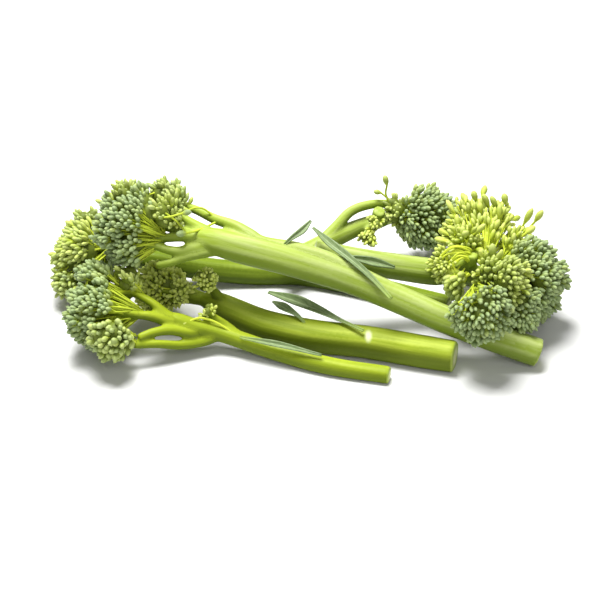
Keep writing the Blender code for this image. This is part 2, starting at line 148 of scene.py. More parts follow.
class Finish:
    """One material, built node by node round its Principled shader."""

    def __init__(self, name, **constants):
        self.material = bpy.data.materials.new(name)
        self.material.use_nodes = True
        self.tree = self.material.node_tree
        self.skin = self.tree.nodes["Principled BSDF"]
        for socket, value in constants.items():
            self.put(self.skin.inputs[socket.replace("_", " ")], value)

    def put(self, socket, value):
        """A wire is linked to the socket; anything else becomes its own value."""
        if isinstance(value, Wire):
            self.tree.links.new(value.socket, socket)
        else:
            socket.default_value = value

    def node(self, kind, settings, values, out=0):
        """Any node: its settings first, then its sockets by number or name."""
        made = self.tree.nodes.new(kind)
        for key, value in settings.items():
            setattr(made, key, value)
        for key, value in values.items():
            self.put(made.inputs[key], value)
        return Wire(self, made.outputs[out])

    def layer(self, name, out=2):
        """A number that the mesh carries at each of its points; out 1 gives it as a vector."""
        return self.node("ShaderNodeAttribute", {"attribute_name": name}, {}, out)

    def cloud(self, scale, detail=2.0, where=None):
        """Soft noise between 0 and 1, by default over the object's own space."""
        where = where or self.node("ShaderNodeTexCoord", {}, {}, 3)
        return self.node("ShaderNodeTexNoise", {}, {"Vector": where, "Scale": scale, "Detail": detail})

    def colour(self, mask, first, second):
        """The first colour where the mask is 0, the second where it is 1."""
        opaque = [(*c, 1.0) if isinstance(c, tuple) else c for c in (first, second)]
        values = {0: mask, 6: opaque[0], 7: opaque[1]}
        return self.node("ShaderNodeMix", {"data_type": "RGBA"}, values, 2)

    def bumps(self, height, distance, strength=0.5):
        """Makes the surface look raised where the height is large."""
        values = {"Height": height, "Distance": distance, "Strength": strength}
        self.put(self.skin.inputs["Normal"], self.node("ShaderNodeBump", {}, values))

# %% [markdown]
# ## The finishes
# Fresh stalks are pale yellow-green with fine streaks that run lengthwise, deeper towards the crown, and
# a thin wax bloom keeps them from shining like plastic; their undersides carry a painted shade, a darker
# green where the skin faces down. Closed buds are grey-green, with a lighter tip, on yellow-green stalks.
# Where the buds are loose and nearly open they turn yellow-green all over. One material serves all buds:
# each bud carries its own numbers, `along` from its foot to its tip, `ripe` for how yellow it is and
# `tone` for its own chance lightness.

# %% Stalk, bud and leaf materials
def stalk_finish(name, pale, deep, branch, shaded):
    """Skin of a stalk: streaks, wax, painted shade below, scars, and the wet disc where it was cut."""
    finish = Finish(name, Specular_IOR_Level=0.1)
    grain = finish.layer("grain", 1)
    streaks = finish.cloud(1.0, 3.0, grain)
    patches = finish.cloud(45.0, 3.0)
    skin = finish.colour(streaks.steps(0.34, 0.66), deep, pale)
    skin = finish.colour(patches.steps(0.35, 0.7) * 0.35, skin, branch)
    skin = finish.colour(finish.layer("crown") * 0.5, skin, branch)
    # painted shade: the skin takes the shaded colour where it faces downwards
    skin = finish.colour(finish.layer("under_shade") * 0.85, skin, shaded)
    skin = finish.colour(finish.layer("scar"), skin, (0.62, 0.66, 0.38))
    ring = finish.layer("pith")
    cut = finish.colour(ring.steps(0.25, 0.6), (0.36, 0.45, 0.10), (0.66, 0.70, 0.36))
    skin = finish.colour(finish.layer("cut"), skin, cut)
    finish.put(finish.skin.inputs["Base Color"], skin)
    finish.put(finish.skin.inputs["Roughness"], 0.34 + patches * 0.22)
    finish.bumps(streaks + finish.cloud(900.0) * 0.15, 0.0005, 0.6)
    return finish.material


def bud_finish():
    """All buds and the thin stalks they stand on."""
    finish = Finish("buds", Specular_IOR_Level=0.25)
    along, ripe, tone = finish.layer("along"), finish.layer("ripe"), finish.layer("tone")
    closed = finish.colour(tone, (0.12, 0.175, 0.055), (0.275, 0.36, 0.15))
    loose = finish.colour(tone, (0.36, 0.44, 0.035), (0.58, 0.64, 0.14))
    body = finish.colour(ripe, closed, loose)
    tip = finish.colour(ripe, (0.33, 0.42, 0.2), (0.55, 0.62, 0.15))
    body = finish.colour(along.steps(0.72, 1.0) * 0.75, body, tip)
    foot = finish.colour(ripe, (0.42, 0.51, 0.035), (0.5, 0.58, 0.035))
    skin = finish.colour(along.steps(0.42, 0.68), foot, body)
    # painted shade: the dark balls deep in the florets take this near-black green
    skin = finish.colour(finish.layer("core"), skin, (0.06, 0.09, 0.012))
    finish.put(finish.skin.inputs["Base Color"], skin)
    finish.put(finish.skin.inputs["Roughness"], 0.48 + tone * 0.2)
    finish.bumps(finish.cloud(1400.0, 2.0), 0.0002, 0.3)
    return finish.material


def leaf_finish():
    """Waxy grey-green blades with a pale midrib and side veins."""
    finish = Finish("leaf", Roughness=0.5, Specular_IOR_Level=0.3)
    across, run = finish.layer("across"), finish.layer("run")
    veins = finish.cloud(1.0, 2.0, finish.layer("grain", 1))
    blade = finish.colour(veins.steps(0.3, 0.7), (0.12, 0.18, 0.06), (0.23, 0.30, 0.14))
    blade = finish.colour((1 - across).steps(0.75, 0.98) * 0.8, blade, (0.27, 0.34, 0.16))
    blade = finish.colour((1 - run).steps(0.7, 1.0), blade, (0.26, 0.35, 0.07))
    finish.put(finish.skin.inputs["Base Color"], blade)
    finish.bumps(veins, 0.0004, 0.4)
    return finish.material


# The last colour of each stalk finish is its painted shade, laid on the side that faces down.
PALE_STALK = stalk_finish("pale_stalk_skin", (0.41, 0.48, 0.17), (0.25, 0.33, 0.045),
                          (0.31, 0.41, 0.03), (0.12, 0.18, 0.01))
DARK_STALK = stalk_finish("dark_stalk_skin", (0.42, 0.50, 0.05), (0.26, 0.335, 0.015),
                          (0.10, 0.15, 0.006), (0.075, 0.11, 0.004))
# A darker copy of the lime skin: painted shade for the back left stalk, which lies in shadow.
SHADED_LIME_STALK = stalk_finish("shaded_lime_stalk_skin", (0.22, 0.29, 0.025), (0.13, 0.19, 0.01),
                          (0.11, 0.17, 0.008), (0.045, 0.075, 0.003))
LIME_STALK = stalk_finish("lime_stalk_skin", (0.35, 0.42, 0.03), (0.22, 0.29, 0.012),
                          (0.27, 0.34, 0.012), (0.09, 0.135, 0.005))
BUDS = bud_finish()
LEAF = leaf_finish()
print("finishes:", [m.name for m in (PALE_STALK, DARK_STALK, SHADED_LIME_STALK, LIME_STALK, BUDS, LEAF)])

# %% [markdown]
# ## How buds look
# The heads differ most in their buds: tight and grey-green, loose and yellow, slender, large or small.
# A look gives their `radius`, `length` and distance (`gap`) in millimetres. `ripe` is how yellow they
# are, `stray` how unevenly they stand out, `knot` how near the twigs come to the surface, `giant` how
# many are far larger and `loose` how many hang on long stalks.

# %% Nine looks
def bud_look(radius, length, gap, ripe, stray, knot=0.35, giant=0.0, loose=0.0):
    """How the buds of a dome look."""
    return {"radius": radius, "length": length, "gap": gap, "ripe": ripe, "stray": stray, "knot": knot,
            "giant": giant, "loose": loose}


CLOSED = bud_look(0.98, 4, 2.2, 0.05, 0.5, knot=0.4)
HALF_OPEN = bud_look(0.95, 4.3, 2.3, 0.42, 0.8, loose=0.1)
YELLOWED = bud_look(0.9, 3.8, 2.2, 0.95, 0.7, loose=0.1)
SLENDER = bud_look(0.95, 5.2, 2.4, 0.6, 1, knot=0.3, loose=0.3)
FANNED = bud_look(1, 5.2, 2.4, 0.6, 0.8, knot=0.3, loose=0.3)
LARGE = bud_look(1.35, 5, 2.7, 0.6, 0.8, knot=0.3, loose=0.5)
STALKED = bud_look(0.95, 4.2, 2.5, 0.85, 1.5, knot=0.4, giant=0.09, loose=0.5)
ROUND = bud_look(1.3, 4.4, 2.7, 0.38, 0.7)
SMALL = bud_look(0.8, 2.8, 1.8, 0.85, 0.8, knot=0.3, loose=0.3)

# %% [markdown]
# ## The skeleton
# Each spear has a spine from its cut end to the crown, where it divides, as rows of x, y, z and radius
# in millimetres. Shoots leave the spine on their own way, and limbs are the branches of a crown that
# the picture shows. Domes are the round masses of a head, each with its centre, axis and radius, the
# number and size of the florets (lobes) of its outside, and its look. It can also say which way it
# `faces`, how far round its buds `spread`, where their stalks `fan` out from, whether a shoot of its
# own has `carried` it, and the routes of single `strays`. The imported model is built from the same
# numbers, so whatever grows on them lies where the model is.

# %% Six spears
SPREAD = 112  # degrees from a dome's axis to its outermost buds, unless it gives its own


def mass(centre, axis, radius, lobes, lobe, buds, spread=SPREAD, faces=None, fan=None, carried=False,
         strays=()):
    """A dome, one round mass of florets."""
    return {"centre": centre, "axis": axis, "radius": radius, "lobes": lobes, "lobe": lobe, "buds": buds,
            "spread": spread, "faces": faces or axis, "fan": fan, "carried": carried, "strays": strays}


SPEARS = {}
SPEARS["crossing"] = {
    "spine": [(99.5, -18.5, 6, 6), (65, -14, 17.5, 5.8), (42, -7.5, 25, 5.8), (21, -0.5, 31, 5.9),
              (-4, 3.5, 37.5, 6.2), (-25, 7.5, 41.5, 6.5), (-34, 9.5, 43.2, 5.9), (-41, 11, 44.2, 4.4),
              (-48, 11.5, 44.8, 2.4)],
    "branch": (3.4, 1.5, 10),
    "shoots": [
        [(32, -2, 31, 2.6), (14, 2.5, 38.5, 2.7), (0, 5.5, 42, 2.8), (-15.5, 8, 43.5, 3),
         (-21, 10.5, 45.9, 2.9), (-27.5, 14.5, 48.2, 2.4), (-36, 20.5, 48.2, 2), (-44, 26, 49.5, 1.7),
         (-50, 29, 50, 1.5)],
    ],
    "limbs": [
        [(-36, 9, 42.6, 3.4), (-46, 7, 41.3, 2.3), (-51, 6, 40.7, 1.9), (-56.5, 6.5, 41.6, 1.6),
         (-60, 8, 42.2, 1.4)],
        [(-34, 7.5, 41, 2.6), (-47.3, 5, 38.6, 1.6), (-54, 4, 36.5, 1.4), (-60, 5, 34.5, 1.3)],
        [(-38, 10, 44.9, 3), (-47.8, 10.5, 45.4, 2.2), (-54.5, 11, 44.6, 1.8), (-60, 12, 43.3, 1.6)],
        [(-36, 12, 45, 2.6), (-43.8, 16, 47.6, 2), (-48.5, 19, 49, 1.7), (-52.4, 22, 50.3, 1.5)],
        [(-38, 12, 44, 2.8), (-46, 14, 44.5, 2.3), (-54, 17, 45.5, 1.8), (-60, 19, 47, 1.5)],
        [(-38, 13, 42.5, 2.8), (-46, 18, 42, 2.2), (-53, 23, 42, 1.8), (-58, 27, 42, 1.5)],
    ],
    "domes": {
        "main": mass((-68.5, 16.5, 46), (-1, 0.05, 0.1), 21, 8, 0.45, CLOSED, 94, fan=(-55, 12, 43),
            strays=[
            ([(-35.5, 18, 48), (-40.5, 13, 48), (-43.5, 9, 48.8), (-47, 7, 49), (-51.5, 5.5, 49.3)], 1.5),
            ([(-47, 11, 46), (-51, 9, 53), (-56, 9, 57.5), (-59.5, 10, 59.7), (-63, 11.5, 61.5)], 1.2),
            ([(-59, 8, 56), (-54.5, 7, 56.6), (-49, 8, 57.7), (-45, 8.5, 58.3)], 1.3)]),
        "peak": mass((-73.2, 24.9, 53.5), (-0.4, 0.2, 1), 12.5, 5, 0.5, SLENDER, 95, carried=True),
        "saddle": mass((-59, 14.5, 54), (0.2, -0.3, 1), 11.5, 4, 0.55, SLENDER, 105, fan=(-50, 17, 47),
            carried=True),
        "top": mass((-57.5, 29.5, 50), (-0.3, 0.3, 1), 14, 5, 0.55, HALF_OPEN, 98, fan=(-48, 26, 49),
            strays=[
            ([(-35, 20, 48), (-40, 21, 52.5), (-43.5, 21, 53.4), (-47, 21, 52.2), (-51.5, 21.5, 52.5)],
              1.3)]),
    },
}
SPEARS["right"] = {
    "spine": [(6, 15.5, 34.8, 5.6), (21, 15.5, 31.5, 5.6), (42.5, 16.5, 27, 5.7), (58, 16.5, 24.5, 5.4),
              (66, 16.5, 23.5, 3.4)],
    "branch": (3.2, 1.5, 9),
    "shoots": [
        [(52, 16, 26.5, 3.4), (61, 12, 29.5, 3), (68, 7.5, 33, 2.7), (71.5, 4.5, 37, 2.5),
         (72, 4, 40.5, 2.3)],
    ],
    "domes": {
        "dome": mass((94.8, 14, 21), (1, -0.2, 0.1), 22.5, 9, 0.42, CLOSED, 104, faces=(1, -0.25, -0.1)),
        "middle": mass((83.3, -4, 29.9), (-0.2, -0.6, 1), 16.5, 6, 0.5, FANNED, 106, faces=(0.4, -0.6, 0.2),
            fan=(78, 6, 27), strays=[
            ([(81, 6, 30), (80.8, 6, 34), (80.7, 6, 37), (80.3, 6, 44.5)], 1.8)]),
        "front": mass((73.5, -21, 29), (-0.4, -1, 0), 17, 7, 0.5, CLOSED, 92, faces=(0.4, -0.9, -0.45),
            fan=(72, -10, 33), carried=True),
        "between": mass((88.5, -7, 20), (0.2, -1, -0.2), 14.5, 5, 0.5, CLOSED, 105, faces=(0.5, -0.8, -0.3),
            carried=True),
        "top": mass((78.6, 45, 27), (0.5, 1, 0.4), 19, 6, 0.48, STALKED, 104, faces=(0.1, 0.6, 1),
            fan=(79, 19, 26), strays=[
            ([(94, 41, 25), (96, 42, 30), (97.7, 42, 34), (101, 42, 41.7)], 1.5),
            ([(95, 40, 25), (98.5, 40, 31), (102, 40, 36), (105.2, 40, 41.8)], 1.5),
            ([(89, 48, 29), (90.5, 50, 34.4), (90.2, 50, 39.3), (89, 50, 44.6)], 1.6),
            ([(79, 46, 32), (77.4, 48, 38), (76.8, 48, 42), (75.3, 48, 47)], 1.5),
            ([(83, 47, 32), (82.8, 48, 36), (82.6, 48, 39.4), (79.7, 48, 45.4)], 1.4),
            ([(86, 47, 31), (86.3, 48, 35), (86.2, 48, 38.4), (83.2, 48, 44.4)], 1.4)]),
        "link": mass((92, 36, 28), (0.2, -0.2, 1), 10, 4, 0.55, STALKED, 100, fan=(86, 22, 25),
            carried=True),
        "inner": mass((71, 30, 31), (-0.4, -0.4, 1), 10.5, 4, 0.55, STALKED, 100, carried=True),
        "curl": mass((61, 6, 34.5), (-1, -0.5, 0.5), 9, 3, 0.55, SMALL, 80, carried=True),
        "apron": mass((64.7, -4, 29.3), (-0.5, -0.8, -0.3), 7.5, 3, 0.55, LARGE, 105, fan=(70, 0, 35),
            carried=True),
    },
}
SPEARS["back_right"] = {
    "spine": [(-8, 40, 15.9, 4), (0, 45.5, 16.3, 4), (12, 55.5, 17, 4.2), (25, 65, 18.5, 3.8),
              (36, 70.5, 19.5, 3.2), (41, 72.5, 20, 2.2)],
    "branch": (2, 1.2, 6),
    "shoots": [
        [(10, 54.5, 17.5, 3), (16, 60, 22, 2.4), (23, 66, 27, 2.1), (32, 70.5, 28, 1.9), (41, 73, 27, 1.6)],
        [(34, 69, 19.5, 2.5), (34.8, 66, 24, 2.7), (35.5, 63.5, 28.5, 2.8)],
        [(33.5, 68, 20, 1.4), (32, 62.5, 19.5, 1.2), (30.5, 59, 18, 1)],
    ],
    "domes": {
        "main": mass((57, 71, 20), (1, 0.2, 0.1), 18, 7, 0.5, CLOSED, 126, faces=(0.35, -0.8, 0),
            fan=(45, 72, 22)),
        "near": mass((43.8, 71, 24.3), (-0.5, -0.6, 0.8), 9, 4, 0.55, FANNED, 120, carried=True, strays=[
            ([(42, 72, 26), (39.5, 72, 30), (38.5, 72, 33), (39, 72, 37), (37.8, 72, 42)], 1.4),
            ([(41, 71, 27), (39, 71, 31), (36.5, 71, 33.5), (33, 71, 34.5)], 1.2)]),
        "side": mass((30.5, 58.5, 17.5), (-0.3, -1, -0.6), 5.5, 3, 0.5, SMALL, fan=(34, 64, 23),
            carried=True),
        "fringe": mass((33.5, 61, 23.5), (-0.2, -1, 0.3), 5, 3, 0.5, SMALL, fan=(35, 66, 24), carried=True),
    },
}
SPEARS["back_left"] = {
    "spine": [(64.5, 20.5, 4.6, 4.9), (44, 30.5, 4.6, 4.9), (22, 41, 4.6, 4.9), (0, 48, 4.6, 4.9),
              (-22.5, 48.5, 5, 4.9), (-44.5, 47, 8.5, 5.1), (-65, 45.5, 13.5, 5), (-74, 44.5, 15.5, 3.4)],
    "branch": (2.8, 1.4, 8),
    "shoots": [],
    "domes": {
        "main": mass((-92, 43, 17.2), (-1, 0.1, 0), 19.5, 7, 0.5, FANNED, 92, faces=(-1, 0, -0.2),
            fan=(-84, 41, 23)),
        "high": mass((-94.6, 60, 24.8), (-0.5, 0.3, 1), 8.5, 4, 0.55, HALF_OPEN, 120, carried=True),
        "low": mass((-102.2, 30, 11), (-1, -0.8, 0), 9, 4, 0.55, HALF_OPEN, 120, carried=True),
    },
}
SPEARS["front_left"] = {
    "spine": [(37, -31, 3.2, 3.5), (12.5, -24.5, 3.4, 3.6), (-10.5, -15, 4.5, 3.5), (-31.5, -7.5, 8, 3.5),
              (-43, -7, 11, 3.6), (-51, -6.5, 14, 3.4), (-56, -6.5, 16, 2.4)],
    "branch": (2.2, 1.2, 7),
    "shoots": [
        [(-24, -8.5, 7, 1.5), (-30.5, -5, 11, 1.3), (-36, -4, 14.5, 1.1), (-40, -3.8, 16, 1)],
    ],
    "limbs": [
        [(-47, -7, 12.5, 2.8), (-52, -7, 14.1, 2.6), (-56.6, -6, 17.4, 2.2), (-62, -4, 21.6, 1.7),
         (-67.2, -1, 23.2, 1.4), (-71, 1, 23.9, 1.1)],
        [(-52, -7, 14.5, 2.6), (-56.5, -8, 15.7, 2.4), (-62.6, -9, 18.3, 2), (-67, -10, 19.4, 1.5)],
        [(-42, -7.5, 10.5, 2.6), (-46, -10, 10.5, 2.2), (-54.3, -12, 13.2, 2), (-61.6, -15, 13.7, 1.7),
         (-67.2, -18, 13.1, 1.3)],
        [(-34, -7.5, 8, 2.2), (-41, -10.5, 6.4, 1.9), (-50.2, -14, 7.1, 1.8), (-59, -17, 9.5, 1.6),
         (-68, -19, 10.3, 1.3)],
    ],
    "domes": {
        "main": mass((-83.6, -8, 18.1), (-1, -0.2, 0.1), 17.5, 8, 0.45, CLOSED, 96, fan=(-65, -8, 19)),
        "upper": mass((-86.4, 5, 27.4), (-0.6, 1, 0.5), 10.5, 5, 0.55, CLOSED, 125, fan=(-71, 0, 23.5),
            carried=True),
        "crest": mass((-73, 3, 30), (-0.2, -0.8, 0.5), 8.5, 4, 0.55, FANNED, 110, fan=(-66, -1, 22),
            carried=True),
        "round": mass((-77.8, -23.5, 17), (-0.2, -1, -0.1), 12.3, 5, 0.55, ROUND, 105,
            faces=(-0.4, -0.9, -0.3), fan=(-68, -17, 13), carried=True),
        "side": mass((-38.5, -3.8, 17), (-0.6, -0.3, 1), 4.8, 3, 0.5, SMALL, carried=True, strays=[
            ([(-28.5, -9, 9.9), (-32.5, -8, 12.7), (-37.5, -7, 15), (-42.5, -7, 16), (-46.5, -8, 14.9),
              (-50, -9, 13.8)], 1.5)]),
    },
}
SPEARS["thick"] = {
    "spine": [(64.5, -21.5, 6.2, 6.6), (49.5, -17, 6.2, 6.6), (28, -10.5, 6.4, 6.7), (6.5, -6, 6.5, 6.8),
              (-14, 1, 7.2, 6.6), (-28, 8.5, 9, 6.2), (-35, 12, 11, 5.4), (-41, 15, 12.5, 3.4)],
    "branch": (3, 1.5, 8),
    "shoots": [
        [(-30, 10, 11, 2.2), (-36, 10, 18, 1.8), (-39.5, 9.2, 23.5, 1.5)],
    ],
    "domes": {
        "main": mass((-60.5, 23.5, 12.1), (-0.7, -0.5, 0.5), 14.5, 5, 0.5, YELLOWED, 125),
        "near": mass((-51.3, 13, 17.2), (-0.1, -0.8, 0.6), 7.5, 4, 0.55, YELLOWED, 125, carried=True),
        "side": mass((-40, 9, 25), (0.2, -0.5, 1), 7, 3, 0.5, SMALL, carried=True),
    },
}

print("spears:", len(SPEARS), "domes:", sum(len(spear["domes"]) for spear in SPEARS.values()))

# %% [markdown]
# ## Lines and golden spirals
# Two small tools do most of the growing. A smooth line runs through a row of points and carries their
# radius along. A golden spiral scatters points evenly over a ball, as real florets are: each next one
# is turned by the golden angle, so no two stand in a row. From a dome's florets follow their hubs, the
# points where a branch ends and the twigs begin.

# %% Lines and spirals
GOLDEN = math.pi * (3.0 - math.sqrt(5.0))
FLORET_SPREAD = 105.0  # degrees from a dome's axis to its last florets
HUB_DEPTH = 0.45  # from a floret's middle back to its hub, by its radius


def distances(points, others):
    """From each of the points to each of the others."""
    return np.linalg.norm(points[:, None] - others[None], axis=2)


def nearest(rows, point):
    """The row, of x, y, z and maybe more, that lies nearest to a point."""
    return rows[np.linalg.norm(rows[:, :3] - point, axis=1).argmin()]


def unit(rows):
    """Each row cut or drawn out to length 1."""
    rows = np.asarray(rows, float)
    return rows / np.linalg.norm(rows, axis=-1, keepdims=True)


def smooth_line(points, steps):
    """Points on a smooth line through the given rows, whatever they hold."""
    rows = np.asarray(points, float)
    rows = np.vstack([2 * rows[0] - rows[1], rows, 2 * rows[-1] - rows[-2]])
    t = np.linspace(0, 1, steps, endpoint=False)[:, None]
    spans = []
    for a, b, c, d in zip(rows, rows[1:], rows[2:], rows[3:]):
        spans.append(0.5 * (2 * b + (c - a) * t + (2 * a - 5 * b + 4 * c - d) * t ** 2
                            + (3 * b - a - 3 * c + d) * t ** 3))
    return np.vstack([*spans, rows[-2:-1]])


def around(axis):
    """Two directions square to the axis and to each other, and the axis itself."""
    axis = unit(axis)
    helper = (0.0, 0.0, 1.0) if abs(axis[2]) < 0.9 else (1.0, 0.0, 0.0)
    side = unit(np.cross(helper, axis))
    return np.array([side, np.cross(axis, side), axis])


def spiral_cap(count, spread, axis, turn=0.0):
    """Directions spread evenly over the cap of a ball, out to an angle from the axis."""
    number = np.arange(count) + 0.5
    height = 1 - (1 - math.cos(math.radians(spread))) * number / count
    ring = np.sqrt(1 - height ** 2)
    angle = number * GOLDEN + turn
    return np.stack([ring * np.cos(angle), ring * np.sin(angle), height], axis=1) @ around(axis)


def lobes_of(dome):
    """Centre and radius of the florets that a dome's outside is made of."""
    side, up, axis = around(dome["axis"])
    draw = np.random.default_rng(1)
    lobes = []
    for i in range(dome["lobes"]):
        tilt = math.radians(FLORET_SPREAD) * math.sqrt((i + 0.35) / dome["lobes"])
        turn = i * GOLDEN
        radius = dome["lobe"] * dome["radius"] * (1 + 0.12 * draw.uniform(-1, 1))
        reach = (dome["radius"] - radius) * (1 + 0.06 * draw.uniform(-1, 1))
        way = math.cos(tilt) * axis + math.sin(tilt) * (math.cos(turn) * side + math.sin(turn) * up)
        lobes.append((np.array(dome["centre"]) + way * reach, radius))
    return lobes


def root_of(spear, dome):
    """Where the branches to a dome come from: the crown, or the end of the shoot that carries it."""
    if dome["carried"]:
        return np.array(dome["centre"]) - unit(dome["axis"]) * dome["radius"]
    return np.array(spear["spine"][-1][:3])


def hubs_of(spear, dome):
    """Where the branch to each floret of a dome ends and its twigs begin."""
    root = root_of(spear, dome)
    return np.array([lobe - unit(lobe - root) * HUB_DEPTH * radius for lobe, radius in lobes_of(dome)])

# %% [markdown]
# ## Rods by the thousand
# A bud on its stalk is a thin rod that swells near its end. Thousands made one by one would be slow, so
# they are worked out together as one array: rods, rows along each rod, points round each row. Bevelled
# curves couldn't have a bud's own outline, nor numbers on each point for the material to read.

# %% Rods and meshes
def rods(lines, radii, sides):
    """Points and faces of closed round rods; lines are rods x rows x 3, radii rods x rows."""
    lines, radii = np.asarray(lines, float), np.asarray(radii, float)
    count, rows = radii.shape
    along = unit(np.gradient(lines, axis=1))
    whole = unit(lines[:, -1] - lines[:, 0])
    helper = np.where(np.abs(whole[:, 2:]) < 0.8, (0.0, 0.0, 1.0), (1.0, 0.0, 0.0))
    side = unit(np.cross(helper[:, None], along))
    up = np.cross(along, side)
    turn = 2 * np.pi * np.arange(sides) / sides
    ring = np.cos(turn)[:, None] * side[:, :, None] + np.sin(turn)[:, None] * up[:, :, None]
    points = lines[:, :, None] + radii[:, :, None, None] * ring
    index = np.arange(count * rows * sides).reshape(count, rows, sides)
    shifted = np.roll(index, -1, axis=2)
    quads = np.stack([index[:, :-1], shifted[:, :-1], shifted[:, 1:], index[:, 1:]], axis=-1)
    faces = quads.reshape(-1, 4).tolist() + index[:, 0, ::-1].tolist() + index[:, -1].tolist()
    return points.reshape(-1, 3), faces


def tube(line, sides):
    """Points and faces of one closed round tube, from rows of x, y, z and radius."""
    return rods(line[None, :, :3], line[None, :, 3], sides)


def gather(parts):
    """Several lots of points, faces and layers as one."""
    points, faces, layers, start = [], [], {}, 0
    for some_points, some_faces, some_layers in parts:
        points.append(some_points)
        faces += [[start + i for i in face] for face in some_faces]
        for name, values in some_layers.items():
            layers.setdefault(name, []).append(values)
        start += len(some_points)
    return np.vstack(points), faces, {name: np.concatenate(values) for name, values in layers.items()}


def add_layers(mesh, layers):
    """Writes numbers, or vectors, on the points of a mesh for its material to read."""
    for name, values in layers.items():
        kind, key = ("FLOAT_VECTOR", "vector") if values.ndim == 2 else ("FLOAT", "value")
        mesh.attributes.new(name, kind, "POINT").data.foreach_set(key, values.astype(np.float32).ravel())


def new_piece(name, points, faces, finish, layers):
    """An object with smooth faces, one finish and its layers; the points are in millimetres."""
    mesh = bpy.data.meshes.new(name)
    mesh.from_pydata(place(points), [], faces)
    mesh.shade_smooth()
    mesh.materials.append(finish)
    add_layers(mesh, layers)
    piece = bpy.data.objects.new(name, mesh)
    show(piece)
    return piece


def dress(piece, slot, *nodes):
    """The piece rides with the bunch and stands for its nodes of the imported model."""
    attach(piece, "root")
    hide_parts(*nodes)
    print(f"{piece.name}: {len(piece.data.polygons)} faces for {', '.join(nodes)}")

# %% [markdown]
# ## The canopy
# All buds of a head end on one lumpy surface. It could be modelled by hand, but here it is worked out:
# a ray goes out from the middle of the head, and the surface is where it leaves the last floret. A soft
# maximum in place of a plain one rounds the dips between florets. Each canopy also knows its florets'
# hubs and the roots that long stalks fan out from.

# %% The surface that the buds end on
VALLEY = 0.86  # how far the dips between florets reach, as a share of the dome's radius
SOFTNESS = 16  # the higher, the sharper the dips
CANOPY_TRIM = 0.96  # what the soft maximum adds is taken off again
FAN_DEPTH = 0.6  # from a dome's middle back to where its stalks fan out, by its radius


class Canopy:
    """The outer surface of one head, made of the florets of its domes."""

    def __init__(self, spear, keys):
        domes = [spear["domes"][key] for key in keys]
        self.domes = domes
        self.centres = np.array([dome["centre"] for dome in domes], float)
        self.axes = unit([dome["faces"] for dome in domes])
        self.sizes = np.array([dome["radius"] for dome in domes], float)
        self.middle = np.average(self.centres, axis=0, weights=self.sizes ** 2)
        behind = self.centres - self.axes * FAN_DEPTH * self.sizes[:, None]
        self.roots = np.array([dome["fan"] or tuple(root) for dome, root in zip(domes, behind)], float)
        self.hubs = [hubs_of(spear, dome) for dome in domes]
        balls = []
        for number, dome in enumerate(domes):
            core = (np.array(dome["centre"], float), VALLEY * dome["radius"])
            balls += [(middle, radius, number) for middle, radius in [*lobes_of(dome), core]]
        self.balls = np.array([ball[0] for ball in balls])
        self.radii = np.array([ball[1] for ball in balls])
        self.owners = np.array([ball[2] for ball in balls])

    def reach(self, ways):
        """How far the canopy is from the head's middle in each direction, and the floret found there."""
        offset = self.middle - self.balls
        along = ways @ offset.T
        inside = along ** 2 - (offset ** 2).sum(axis=1) + self.radii ** 2
        exits = np.where(inside > 0, np.sqrt(np.maximum(inside, 0)) - along, 0.0).clip(0)
        return CANOPY_TRIM * (exits ** SOFTNESS).sum(axis=1) ** (1 / SOFTNESS), exits.argmax(axis=1)

    def holds(self, points, share=0.96):
        """True for points that lie under the canopy."""
        offset = points - self.middle
        away = np.linalg.norm(offset, axis=1)
        return away < share * self.reach(offset / away[:, None])[0]


def apart(points, gaps, order):
    """Numbers of points that keep their distance from each other, taken in a given order."""
    kept = []
    for number in order:
        if not kept or (((points[kept] - points[number]) ** 2).sum(axis=1)).min() > gaps[number] ** 2:
            kept.append(number)
    return np.array(kept)

# %% [markdown]
# ## Growing a head
# A real head divides three times: the crown sends a branch to each floret, the floret a twig to each
# of its clusters, and the cluster a thin stalk to each bud. So clusters are set out on the canopy first
# and then the buds, each as near to the next as its look allows. Near the rim of a dome most buds skip
# the twigs and hang on long stalks from its root, which is what shows as a fan from below. Buds that
# would end inside a neighbouring head, in a stalk that lies against the head or in the floor are left
# out, as the plant has no room for them. A dark ball in each floret is painted shade: it stands for the
# shaded stalks too deep to see.

# %% Buds of one head
CLUSTER_GAP = 6.5  # millimetres between the middles of two clusters on the canopy
CLUSTER_DIP = 0.9  # how much lower the canopy is between clusters than over them, in millimetres
RIM_FROM = 40.0  # degrees from a dome's axis where buds begin to hang on stalks from its root
RIM_WIDTH = 35.0  # and over how many degrees that sets in
LONG_AT_RIM = 0.85  # share of the buds there that do
LONG_LEAVES = (0.05, 0.5)  # where a long stalk leaves its dome's root, as a share of the way to the twig
PACKING = 0.84  # the least distance of two buds, as a share of their usual distance
FINER = 1.6  # how much closer the first scatter of points is than the buds
PULLS = (0.7, 0.3, 0.4)  # what leans a bud: its dome's root, its floret's middle, its cluster's middle
LEAN_CHANCE = 0.1
LENGTHS = (0.85, 1.15)  # least and greatest length and thickness, by those of the look
THICKNESSES = (0.84, 1.16)
GIANT_REACH = (1.5, 6.5)  # how far a giant bud stands out, in millimetres
GIANT_LENGTH = 1.4
GIANT_THICKNESS = 1.5
FOOT_CHANCE = 0.35  # by how much the feet and bends of stalks are off, in millimetres
LONG_FOOT_CHANCE = 0.7
SAG = 0.1  # how far a long stalk bows outwards, by its length
BOW = 2.0  # how far any stalk bends towards the way in which its bud leans, in millimetres
RIPE_BEHIND = 0.6  # how much yellower buds are that look back towards the crown
RIPE_CHANCE = 0.09
FLOOR_CLEAR = 0.25  # millimetres from a bud's tip to the floor and to a stalk
STALK_CLEAR = 0.4
LINES = {name: smooth_line(spear["spine"], 8) for name, spear in SPEARS.items()}


def stalk_near(points, own_name):
    """True for points that lie in or on a stalk of another spear."""
    hit = np.zeros(len(points), bool)
    for name, line in LINES.items():
        if name != own_name:
            hit |= (distances(points, line[:, :3]) - line[:, 3]).min(axis=1) < STALK_CLEAR
    return hit


